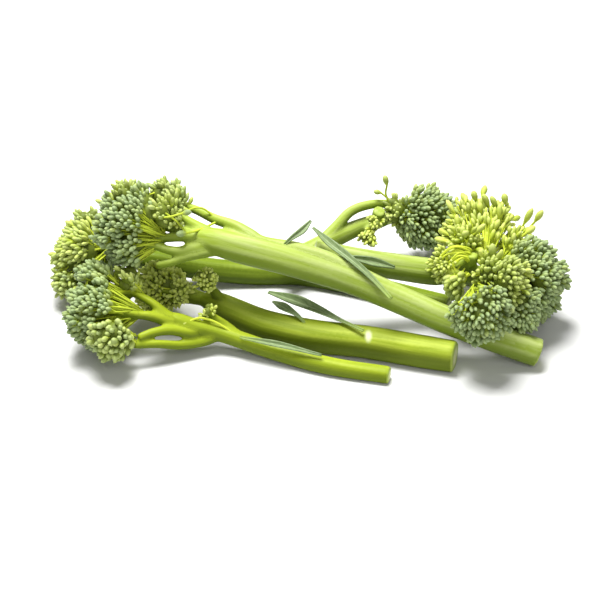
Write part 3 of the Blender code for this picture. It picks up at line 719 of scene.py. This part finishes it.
def on_canopy(canopy, gap, draw):
    """Points on the canopy where a bud may stand, and the floret of each."""
    finest = FINER * (np.linalg.norm(canopy.centres - canopy.middle, axis=1) + canopy.sizes).max() / gap
    count = int(4 * math.pi * finest ** 2)
    ways = unit(spiral_cap(count, 180.0, (0, 0, 1)) + draw.normal(0, 0.3 / finest, (count, 3)))
    reach, floret = canopy.reach(ways)
    points = canopy.middle + ways * reach[:, None]
    owner = canopy.owners[floret]
    out = unit(points - canopy.centres[owner])
    spread = np.array([dome["spread"] for dome in canopy.domes])[owner] + draw.normal(0, 3, count)
    fits = (reach > 1) & ((out * canopy.axes[owner]).sum(axis=1) > np.cos(np.radians(spread)))
    return points[fits], floret[fits]


def buds_of(name, canopy, rivals, draw):
    """One row of numbers for each bud, its dome, and the twigs as a dome and two ends."""
    looks = [dome["buds"] for dome in canopy.domes]
    points, floret = on_canopy(canopy, min(look["gap"] for look in looks), draw)
    owner = canopy.owners[floret]
    order = draw.permutation(len(points))
    heart = apart(points, np.full(len(points), CLUSTER_GAP), order)
    gaps = PACKING * np.array([look["gap"] for look in looks])[owner]
    kept = apart(points, gaps, order)
    hearts, heart_floret = points[heart], floret[heart]
    points, floret, owner = points[kept], floret[kept], owner[kept]

    away = distances(points, hearts)
    own = away.argmin(axis=1)
    out = unit(points - canopy.centres[owner])
    facing = (out * canopy.axes[owner]).sum(axis=1)
    number = len(points)
    pick = {key: np.array([look[key] for look in looks])[owner][:, None] for key in CLOSED}
    low = CLUSTER_DIP * (away.min(axis=1)[:, None] / (0.5 * CLUSTER_GAP)) ** 2
    tips = points + out * (pick["stray"] * draw.normal(0, 1, (number, 1)) - low)
    splay = (points - hearts[own]) / CLUSTER_GAP
    fan = unit(points - canopy.roots[owner])
    lean = PULLS[0] * fan + PULLS[1] * unit(points - canopy.balls[floret]) + PULLS[2] * splay
    lean = unit(lean + draw.normal(0, LEAN_CHANCE, out.shape))
    giant = draw.random((number, 1)) < pick["giant"]
    tips += np.where(giant, lean * draw.uniform(*GIANT_REACH, (number, 1)), 0.0)
    longer = np.where(giant, GIANT_LENGTH, 1.0)
    base = tips - lean * pick["length"] * draw.uniform(*LENGTHS, (number, 1)) * longer

    heart_owner = canopy.owners[heart_floret]
    depth = np.array([look["knot"] for look in looks])[heart_owner][:, None]
    roots = np.array([nearest(canopy.hubs[dome], heart) for heart, dome in zip(hearts, heart_owner)])
    knots = roots + (hearts - roots) * depth
    foot = knots[own]
    angle = np.degrees(np.arccos(np.clip(facing, -1, 1)))[:, None]
    rim = np.clip((angle - RIM_FROM) / RIM_WIDTH, 0, 1)
    long = draw.random((number, 1)) < np.maximum(pick["loose"], LONG_AT_RIM * rim)
    root = canopy.roots[owner]
    foot = np.where(long, root + (foot - root) * draw.uniform(*LONG_LEAVES, (number, 1)), foot)
    foot = foot + draw.normal(0, FOOT_CHANCE, out.shape)
    foot = foot + np.where(long, draw.normal(0, LONG_FOOT_CHANCE, out.shape), 0)
    sag = np.where(long, SAG * np.linalg.norm(base - foot, axis=1, keepdims=True), 0.0)
    bend = 0.5 * (foot + base) + (lean - out) * BOW + out * sag + draw.normal(0, FOOT_CHANCE, out.shape)
    thick = pick["radius"] * draw.uniform(*THICKNESSES, (number, 1))
    thick = thick * np.where(giant, GIANT_THICKNESS, 1.0)
    behind = np.clip(0.15 - facing, 0, 1)[:, None]
    ripe = np.clip(pick["ripe"] + RIPE_BEHIND * behind + draw.normal(0, RIPE_CHANCE, (number, 1)), 0, 1)
    rows = np.hstack([foot, bend, base, tips, thick, ripe, draw.uniform(0, 1, (number, 1))])
    free = (tips[:, 2] > FLOOR_CLEAR) & ~stalk_near(tips, name)
    for rival in rivals:
        free &= ~rival.holds(tips)
    twigs = [(owner_k, root, knot) for owner_k, root, knot in zip(heart_owner, roots, knots)]
    return rows[free], owner[free], twigs

# %% [markdown]
# ## The outline of a bud
# Along its length a bud is a thin stalk, a neck, a body that is widest two thirds of the way up, and
# a blunt tip. Nine rows of six points give that outline, and smooth shading rounds it. Single stalks
# that stand out of a head have routes of their own, and one small cluster is a comb of stalks that
# curl over side by side.

# %% Buds into a mesh
STALK_ROWS = (0.0, 0.33, 0.67, 1.0)
BUD_ROWS = (0.12, 0.36, 0.64, 0.88, 1.0)
BUD_OUTLINE = (0.55, 0.92, 1.0, 0.66, 0.14)
ALONG = np.array([0.0, 0.15, 0.3, 0.45, 0.52, 0.62, 0.76, 0.9, 1.0])
STALK_SHARE = 0.34  # radius of a bud's stalk, as a share of the bud's
BUD_SIDES = 6
TWIG_RADII = (0.8, 0.7, 0.6, 0.45)
STRAY_SIDES = 10
CURLED_STALKS = 11
CURL_OUTSIDE = [(71, 6, 38), (70.5, 5, 42), (64, 5, 44), (58.5, 4.5, 40), (57, 4, 34.5), (59.5, 3.5, 30)]
CURL_INSIDE = [(70.5, 3, 36), (70, 2, 39), (67.5, 1.5, 40), (64.8, 1, 38), (64, 0.5, 35.5), (65.5, 0, 32)]
CURL_CHANCE = 0.45
CURL_BUD = 1.35  # radius of a curled stalk's bud
# The dark balls are painted shade, standing for the shaded tangle of stalks deep in a head.
CORE_SHARE = 0.62  # radius of a dark ball, as a share of its floret's
CORE_BACK = 0.35  # how far it is set back, by its radius
CORE_SIDES = 12
CORE_SHADE = 0.85


def bud_layers(shape, along, ripe, tone, core):
    """The numbers that the material of the buds reads, for all points of some rods."""
    given = {"along": along, "ripe": ripe, "tone": tone, "core": core}
    return {name: np.broadcast_to(values, shape).ravel() for name, values in given.items()}


def bud_mesh(rows):
    """All buds of a head as closed rods, each with its own numbers for the material."""
    foot, bend, base, tip = (rows[:, None, 3 * k:3 * k + 3] for k in range(4))
    thick, ripe, tone = (rows[:, k] for k in (12, 13, 14))
    t = np.array(STALK_ROWS)[None, :, None]
    stalk = (1 - t) ** 2 * foot + 2 * t * (1 - t) * bend + t ** 2 * base
    s = np.array(BUD_ROWS)[None, :, None]
    lines = np.concatenate([stalk, base + (tip - base) * s], axis=1)
    outline = np.array([STALK_SHARE] * len(STALK_ROWS) + list(BUD_OUTLINE))
    points, faces = rods(lines, thick[:, None] * outline, BUD_SIDES)
    shape = (len(rows), len(outline), BUD_SIDES)
    each = (slice(None), None, None)
    return points, faces, bud_layers(shape, ALONG[None, :, None], ripe[each], tone[each], 0.0)


def twig_mesh(twigs):
    """The twigs of a dome from its root to its clusters."""
    t = np.linspace(0, 1, len(TWIG_RADII))[None, :, None]
    ends = np.array(twigs)
    lines = ends[:, :1] * (1 - t) + ends[:, 1:] * t
    points, faces = rods(lines, np.broadcast_to(TWIG_RADII, lines.shape[:2]), BUD_SIDES)
    return points, faces, bud_layers(len(points), 0.0, 0.4, 0.5, 0.0)


def stray_mesh(route, thick, ripe):
    """One bud on a long stalk of its own; the last two points of its route are the bud's ends."""
    stalk = smooth_line(route[:-1], 6)
    base, tip = np.array(route[-2:], float)
    line = np.vstack([stalk, base + (tip - base) * np.array(BUD_ROWS)[:, None]])
    outline = np.array([STALK_SHARE] * len(stalk) + list(BUD_OUTLINE))
    points, faces = rods(line[None], thick * outline[None], STRAY_SIDES)
    along = np.array([ALONG[1]] * len(stalk) + list(ALONG[len(STALK_ROWS):]))
    return points, faces, bud_layers((len(line), STRAY_SIDES), along[:, None], ripe, 0.5, 0.0)


def curl_of(draw):
    """Stalks that curl over side by side, from the outermost to the innermost."""
    routes = []
    for inward in np.linspace(0, 1, CURLED_STALKS):
        route = (1 - inward) * np.array(CURL_OUTSIDE) + inward * np.array(CURL_INSIDE)
        routes.append((route + draw.normal(0, CURL_CHANCE, route.shape), CURL_BUD))
    return routes


def shade_ball_mesh(dome):
    """The dark balls of painted shade in the florets of a dome."""
    facing = unit(dome["faces"])
    least = math.cos(math.radians(dome["spread"]))
    lobes = [lobe for lobe in lobes_of(dome) if unit(lobe[0] - np.array(dome["centre"])) @ facing > least]
    radii = np.array([CORE_SHARE * radius for _, radius in lobes])
    ways = unit([middle - np.array(dome["centre"]) for middle, _ in lobes])
    centres = np.array([middle for middle, _ in lobes]) - ways * radii[:, None] * CORE_BACK
    angle = np.linspace(0.2, math.pi - 0.2, 7)
    middles = centres[:, None] - ways[:, None] * (radii[:, None] * np.cos(angle))[..., None]
    points, faces = rods(middles, radii[:, None] * np.sin(angle), CORE_SIDES)
    return points, faces, bud_layers(len(points), 0.0, dome["buds"]["ripe"], 0.5, CORE_SHADE)

# %% [markdown]
# ## All the heads
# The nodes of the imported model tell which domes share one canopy. Each dome becomes a piece of its own
# that stands for its head's node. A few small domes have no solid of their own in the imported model;
# they fill the dips between larger ones.

# %% Grow the heads
HEADS = {
    "crossing_head": ("crossing", ["main", "peak", "top", "saddle"], "grey_green_buds"),
    "right_head_dome": ("right", ["dome", "middle", "front", "between"], "grey_green_buds"),
    "right_head_top": ("right", ["top", "link"], "yellow_green_buds"),
    "right_head_curl": ("right", ["curl", "apron"], "yellow_green_buds"),
    "back_right_head": ("back_right", ["main", "near"], "grey_green_buds"),
    "back_right_side": ("back_right", ["side", "fringe"], "yellow_green_buds"),
    "back_left_head": ("back_left", ["main", "high", "low"], "grey_green_buds"),
    "front_left_head": ("front_left", ["main", "upper", "round", "crest"], "grey_green_buds"),
    "front_left_side": ("front_left", ["side"], "yellow_green_buds"),
    "thick_head": ("thick", ["main", "near"], "yellow_green_buds"),
    "thick_side": ("thick", ["side"], "yellow_green_buds"),
    "right_head_inner": ("right", ["inner"], "yellow_green_buds"),
}
CANOPIES = {node: Canopy(SPEARS[spear_name], keys) for node, (spear_name, keys, slot) in HEADS.items()}
ABOVE_FLOOR = 0.05
HEAD_SEED = 100


def grow_head(node, spear_name, keys, slot, seed):
    """All buds and twigs of one head, as one piece for each of its domes."""
    draw = np.random.default_rng(seed)
    canopy = CANOPIES[node]
    rivals = [other for name, other in CANOPIES.items() if name != node]
    rows, owner, twigs = buds_of(spear_name, canopy, rivals, draw)
    for number, (key, dome) in enumerate(zip(keys, canopy.domes)):
        own_twigs = [ends for own, *ends in twigs if own == number]
        parts = [bud_mesh(rows[owner == number]), twig_mesh(own_twigs)]
        # dark balls of painted shade deep in the florets
        if dome["buds"] is not STALKED:
            parts.append(shade_ball_mesh(dome))
        strays = curl_of(draw) if key == "curl" else dome["strays"]
        parts += [stray_mesh(route, thick, dome["buds"]["ripe"]) for route, thick in strays]
        points, faces, layers = gather(parts)
        points[:, 2] = np.maximum(points[:, 2], ABOVE_FLOOR)
        print(f"{node} {key}: {(owner == number).sum()} buds in {len(own_twigs)} clusters")
        dress(new_piece(f"{node}_{key}_buds", points, faces, BUDS, layers), slot, node)


for number, (node, (spear_name, keys, slot)) in enumerate(HEADS.items()):
    grow_head(node, spear_name, keys, slot, HEAD_SEED + number)

# %% [markdown]
# ## Stalks that divide without a seam
# Where a stalk divides, its skin runs on over every branch. Separate tubes would show a hard line
# there, and a Boolean union leaves a crease. A voxel remesh melts the tubes into one skin, and a little
# smoothing rounds the forks. It also wipes out what was known about the surface, so afterwards every
# point looks up the nearest tube line again, for the streaks that run along the stalk. A crown with
# limbs sends its branches on from their ends; any other forks by rule.

# %% The lines of the branches
MAIN_BRANCHES = 4
STAGGER = 0.7  # how far apart main branches leave the stalk, by the length of the crown
NEAR_AT = 0.25  # where a branch bends, and where it forks, by its length
FORK_AT = 0.45
BRANCH_BEND = 0.12
SLIM = 0.74  # thickness of a branch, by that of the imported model's


def fork_lines(crown, way, back, hubs, base, tip):
    """Branches that leave the stalk one after the other and part half-way, each to its own floret."""
    start = crown - way * back
    directions = unit(hubs - start)
    leaders = directions[:1]
    while len(leaders) < min(MAIN_BRANCHES, len(hubs)):
        leaders = np.vstack([leaders, directions[(directions @ leaders.T).max(axis=1).argmin()]])
    group = (directions @ leaders.T).argmax(axis=1)
    lines = []
    for hub, own in zip(hubs, group):
        goal = hubs[group == own].mean(axis=0)
        start = crown - way * back * (1 - STAGGER * own / len(leaders))
        length = np.linalg.norm(goal - start)
        near = start + (goal - start) * NEAR_AT + way * BRANCH_BEND * length
        fork = start + (goal - start) * FORK_AT + way * BRANCH_BEND * length
        rows = [(*start, base), (*near, 0.85 * base), (*fork, 0.5 * (base + tip)), (*hub, tip)]
        lines.append(smooth_line(rows, 5))
    return lines


def limb_lines(spear, hubs, tip):
    """From the end of the nearest limb or shoot on to each floret."""
    ends = np.array([route[-1] for route in (*spear["limbs"], *spear["shoots"])])
    lines = []
    for hub in hubs:
        end = nearest(ends, hub)
        rows = [end, (*(0.5 * (end[:3] + hub)), 0.5 * (end[3] + tip)), (*hub, tip)]
        lines.append(smooth_line(rows, 6))
    return lines


def branch_lines(spear):
    """Rows of x, y, z, radius for each branch from the crown to a floret, and for each shoot."""
    base, tip, back = spear["branch"]
    base, tip = SLIM * base, SLIM * tip
    crown, before = (np.array(spear["spine"][k][:3]) for k in (-1, -2))
    way = unit(crown - before)
    lines = [smooth_line(route, 6) for route in (*spear["shoots"], *spear.get("limbs", ()))]
    for dome in spear["domes"].values():
        root = root_of(spear, dome)
        hubs = hubs_of(spear, dome)
        if dome["carried"]:
            if "limbs" in spear:
                lines += limb_lines(spear, [root], tip)
            for hub in hubs:
                rows = [(*root, tip), (*(root * 0.5 + hub * 0.5), tip), (*hub, tip * 0.8)]
                lines.append(smooth_line(rows, 6))
        elif "limbs" in spear:
            lines += limb_lines(spear, hubs, tip)
        else:
            lines += fork_lines(crown, way, back, hubs, base, tip)
    return lines

# %% [markdown]
# ## One skin
# Smoothing makes a tube thinner, the more so the thinner it is, so every tube starts out swollen by as
# much. A spine also gets shallow ribs and a slightly uneven thickness before it is melted with its
# branches.

# %% Melt tubes into one skin
VOXEL = 0.62  # millimetres
SMOOTHING = 12
SHRINKAGE = 0.55  # what smoothing takes off a tube, in square millimetres over its radius
SPINE_SIDES = 28
BRANCH_SIDES = 14
RIBS = 5
RIB_HEIGHT = 0.035  # height of the ribs, and unevenness of a stalk, by its radius
UNEVEN = 0.018
UNEVEN_ROWS = 6


def swollen(line):
    """A tube line made thicker by what the smoothing will take off."""
    line = line.copy()
    line[:, 3] += SHRINKAGE / np.maximum(line[:, 3], 1.0)
    return line


def stalk_rod(line, draw):
    """A stalk with shallow ribs and a slightly uneven thickness."""
    rows = len(line)
    points, faces = tube(line, SPINE_SIDES)
    centre = np.repeat(line[:, :3], SPINE_SIDES, axis=0)
    turn = np.tile(2 * np.pi * np.arange(SPINE_SIDES) / SPINE_SIDES, rows)
    marks = np.arange(0, rows + UNEVEN_ROWS, UNEVEN_ROWS)
    uneven = np.interp(np.arange(rows), marks, draw.normal(0, UNEVEN, len(marks)))
    swell = 1 + RIB_HEIGHT * np.cos(RIBS * turn + draw.uniform(0, 6.28)) + np.repeat(uneven, SPINE_SIDES)
    return centre + (points - centre) * swell[:, None], faces, {}


def read_rows(mesh, key):
    """The place (co) or the normal of each point of a mesh."""
    values = np.empty(len(mesh.vertices) * 3)
    mesh.vertices.foreach_get(key, values)
    return values.reshape(-1, 3)


def melt(piece):
    """Turns overlapping closed tubes into one smooth skin."""
    voxels = piece.modifiers.new("melt", "REMESH")
    voxels.mode = "VOXEL"
    voxels.voxel_size = VOXEL * MM
    voxels.use_smooth_shade = True
    soft = piece.modifiers.new("soften", "SMOOTH")
    soft.factor = 0.5
    soft.iterations = SMOOTHING
    evaluated = piece.evaluated_get(bpy.context.evaluated_depsgraph_get())
    mesh = bpy.data.meshes.new_from_object(evaluated)
    piece.modifiers.clear()
    piece.data = mesh
    mesh.shade_smooth()
    return read_rows(mesh, "co") / MM + (*BUNCH_CENTRE, 0.0)

# %% [markdown]
# ## What the skin shows
# The material needs to know at each point how far along and around the stalk it lies, whether it is
# near the crown, on the cut end, on a scar where a leaf came off, or on the shaded side.

# %% Grow the stems
# painted shade: how level the skin still is where the painted shade of its underside begins
UNDER_SHADE_LEVEL = 0.85  # how level the skin still is where its deeper green begins
STREAK_RUN = 0.035  # how fast the streaks change along a stalk and across it, by millimetres
STREAK_WIDTH = 0.55
CUT_EDGE = 0.8  # millimetres over which the cut end changes into skin
SCAR_NARROW = 0.5
SCAR_REACH = 1.6


def stalk_layers(points, ups, lines, reach, scars):
    """Streak direction, crown, cut, scars and the painted shade of the underside for every point of a stem.
    """
    best = np.full(len(points), 1e9)
    grain = np.zeros((len(points), 3))
    for number, line in enumerate(lines):
        run = np.concatenate([[0], np.cumsum(np.linalg.norm(np.diff(line[:, :3], axis=0), axis=1))])
        away = distances(points, line[:, :3])
        row = away.argmin(axis=1)
        distance = away[np.arange(len(points)), row] - line[row, 3]
        closer = distance < best
        best[closer] = distance[closer]
        out = (points - line[row, :3])[closer]
        side, up, _ = around(line[-1, :3] - line[0, :3])
        lengthwise = run[row][closer] * STREAK_RUN + 7 * number
        grain[closer] = np.stack([out @ side, out @ up, lengthwise], axis=1)
    spine = lines[0]
    before_crown = (spine[-1, :3] - points) @ unit(spine[-1, :3] - spine[-9, :3])
    crown = np.clip(1 - before_crown / reach, 0, 1)
    inward = unit(spine[1, :3] - spine[0, :3])
    depth = (points - spine[0, :3]) @ inward
    off_axis = np.linalg.norm(points - spine[0, :3] - depth[:, None] * inward, axis=1)
    cut = np.clip(1 - depth / CUT_EDGE, 0, 1) * (off_axis < spine[0, 3] * 1.05)
    scar = np.zeros(len(points))
    for x, y, z, size in scars:
        away = np.linalg.norm((points - (x, y, z)) / (SCAR_NARROW, 1, 1), axis=1)
        scar = np.maximum(scar, np.clip(SCAR_REACH - away / size, 0, 1))
    grain *= (STREAK_WIDTH, STREAK_WIDTH, 1.0)
    # painted shade: the more the skin faces down, the more of the shaded colour it gets
    under_shade = np.clip((UNDER_SHADE_LEVEL - ups) / UNDER_SHADE_LEVEL, 0, 1) * (1 - cut)
    return {"grain": grain, "crown": crown, "cut": cut, "pith": 1 - off_axis / spine[0, 3], "scar": scar,
            "under_shade": under_shade}


STEMS = {  # finish, slot, millimetres over which it changes before the crown, scars
    "crossing": (PALE_STALK, "pale_stalk", 26, []),
    "right": (PALE_STALK, "pale_stalk", 26, []),
    "back_right": (PALE_STALK, "pale_stalk", 26, []),
    # back_left wears the darker copy of the lime skin, painted shade for a stalk in shadow
    "back_left": (SHADED_LIME_STALK, "lime_stalk", 40, []),
    "front_left": (LIME_STALK, "lime_stalk", 26, []),
    "thick": (DARK_STALK, "dark_stalk", 75, [(28.5, -14.5, 12, 2.2)]),
}


def grow_stem(name, finish, slot, reach, scars, seed):
    """Stalk, branches and shoots of one spear as one skin."""
    draw = np.random.default_rng(seed)
    spear = SPEARS[name]
    branches = branch_lines(spear)
    spine = smooth_line(spear["spine"], 8)
    parts = [stalk_rod(swollen(spine), draw)]
    parts += [(*tube(swollen(line), BRANCH_SIDES), {}) for line in branches]
    points, faces, _ = gather(parts)
    piece = new_piece(name + "_stalk", points, faces, finish, {})
    points = melt(piece)
    ups = read_rows(piece.data, "normal")[:, 2]
    add_layers(piece.data, stalk_layers(points, ups, [spine, *branches], reach, scars))
    rows = read_rows(piece.data, "co")
    rows[:, 2] = np.maximum(rows[:, 2], 0.0)
    piece.data.vertices.foreach_set("co", rows.ravel())
    dress(piece, slot, name + "_stem")


STEM_SEED = 200
for number, (name, (finish, slot, reach, scars)) in enumerate(STEMS.items()):
    grow_stem(name, finish, slot, reach, scars, STEM_SEED + number)

# %% [markdown]
# ## Leaves
# The few leaves are small, narrow and folded along their midrib, with a short stalk of their own.
# Each is a thin curved sheet that the Solidify modifier gives a thickness, so it holds from every side.

# %% Six leaves
LEAVES = {
    "crossing_long_leaf": ([(37.5, -15.5, 30.5, 0.7), (30, -7, 35, 1.2), (21, 0.5, 39.9, 1.5),
                            (12.5, 8.5, 43, 1.7), (5.5, 16, 46.5, 0.5)], (0.2, -0.6, 0.8)),
    "crossing_small_leaf": ([(-7.5, 4.5, 43.5, 0.5), (-4, 6, 46.7, 0.8), (1, 9.5, 49, 1.3),
                             (4.5, 13.5, 51.2, 0.5)], (0.2, -0.8, 0.6)),
    "right_leaf": ([(18.5, 11, 34.8, 0.5), (22, 10.3, 35.3, 0.8), (31.5, 9.2, 33.7, 1.8),
                    (40, 8.5, 31.6, 0.5)], (0, -0.8, 0.6)),
    "front_left_leaf": ([(-25, -13, 10.2, 0.6), (-8.5, -18.5, 9.8, 1.3), (9, -24.5, 8.8, 0.5)],
                        (0, -0.5, 0.9)),
    "thick_long_leaf": ([(26.5, -14.2, 14.2, 0.6), (17.5, -8, 15.2, 0.8), (8.5, -1.5, 15.8, 1.8),
                         (-2, 7, 15.6, 2.3), (-13.5, 14.5, 15.6, 0.7)], (0.2, -0.6, 0.8)),
    "thick_short_leaf": ([(2, -6, 12.8, 0.5), (-1, -4, 15.3, 0.8), (-7, 2, 15.4, 1.8),
                          (-11.5, 7.5, 15.2, 0.5)], (0.2, -0.6, 0.8)),
}
LEAF_ACROSS = 9  # points across a blade
LEAF_FOLD = 0.7  # how far the edges rise over the midrib, and wave, by the blade's half width
LEAF_WAVE = 0.12
LEAF_THICKNESS = 0.55  # millimetres


def grow_leaf(node, rows, facing):
    """A blade folded along its midrib, a little wavy at its edges."""
    line = smooth_line(rows, 12)
    along = unit(np.gradient(line[:, :3], axis=0))
    across = unit(np.cross(along, facing))
    up = np.cross(across, along)
    u = np.linspace(-1, 1, LEAF_ACROSS)
    run = np.linspace(0, 1, len(line))
    half = line[:, 3:4]
    wave = LEAF_WAVE * half * np.sin(9 * run[:, None] + 2 * u) * np.abs(u)
    lift = half * LEAF_FOLD * np.abs(u) ** 1.3 + wave
    points = line[:, None, :3] + (half * u)[..., None] * across[:, None] + lift[..., None] * up[:, None]
    index = np.arange(len(line) * LEAF_ACROSS).reshape(len(line), LEAF_ACROSS)
    corners = [index[:-1, :-1], index[:-1, 1:], index[1:, 1:], index[1:, :-1]]
    faces = np.stack(corners, axis=-1).reshape(-1, 4)
    runs = np.repeat(run, LEAF_ACROSS)
    sides = np.tile(u, len(line))
    grain = np.stack([sides * 2, runs * len(rows) * 4 - np.abs(sides) * 1.5, np.zeros(len(runs))], axis=1)
    layers = {"across": np.abs(sides), "run": runs, "grain": grain}
    piece = new_piece(node + "_blade", points.reshape(-1, 3), faces.tolist(), LEAF, layers)
    sheet = piece.modifiers.new("thickness", "SOLIDIFY")
    sheet.thickness = LEAF_THICKNESS * MM
    sheet.offset = 0.0
    dress(piece, "leaf_green", node)


for node, (rows, facing) in LEAVES.items():
    grow_leaf(node, rows, facing)

# %% [markdown]
# ## The floor
# A plain pale sheet far larger than the view, so that no edge shows. It is the stage and not part
# of the bunch.

# %% Floor
def add_floor():
    """A matt pale floor at height 0."""
    half = 3.0
    mesh = bpy.data.meshes.new("floor")
    corners = [(-half, -half, 0), (half, -half, 0), (half, half, 0), (-half, half, 0)]
    mesh.from_pydata(corners, [], [(0, 1, 2, 3)])
    finish = Finish("floor", Roughness=0.9)
    finish.put(finish.skin.inputs["Base Color"], (0.68, 0.68, 0.67, 1.0))
    mesh.materials.append(finish.material)
    floor = bpy.data.objects.new("floor", mesh)
    show(floor)


add_floor()
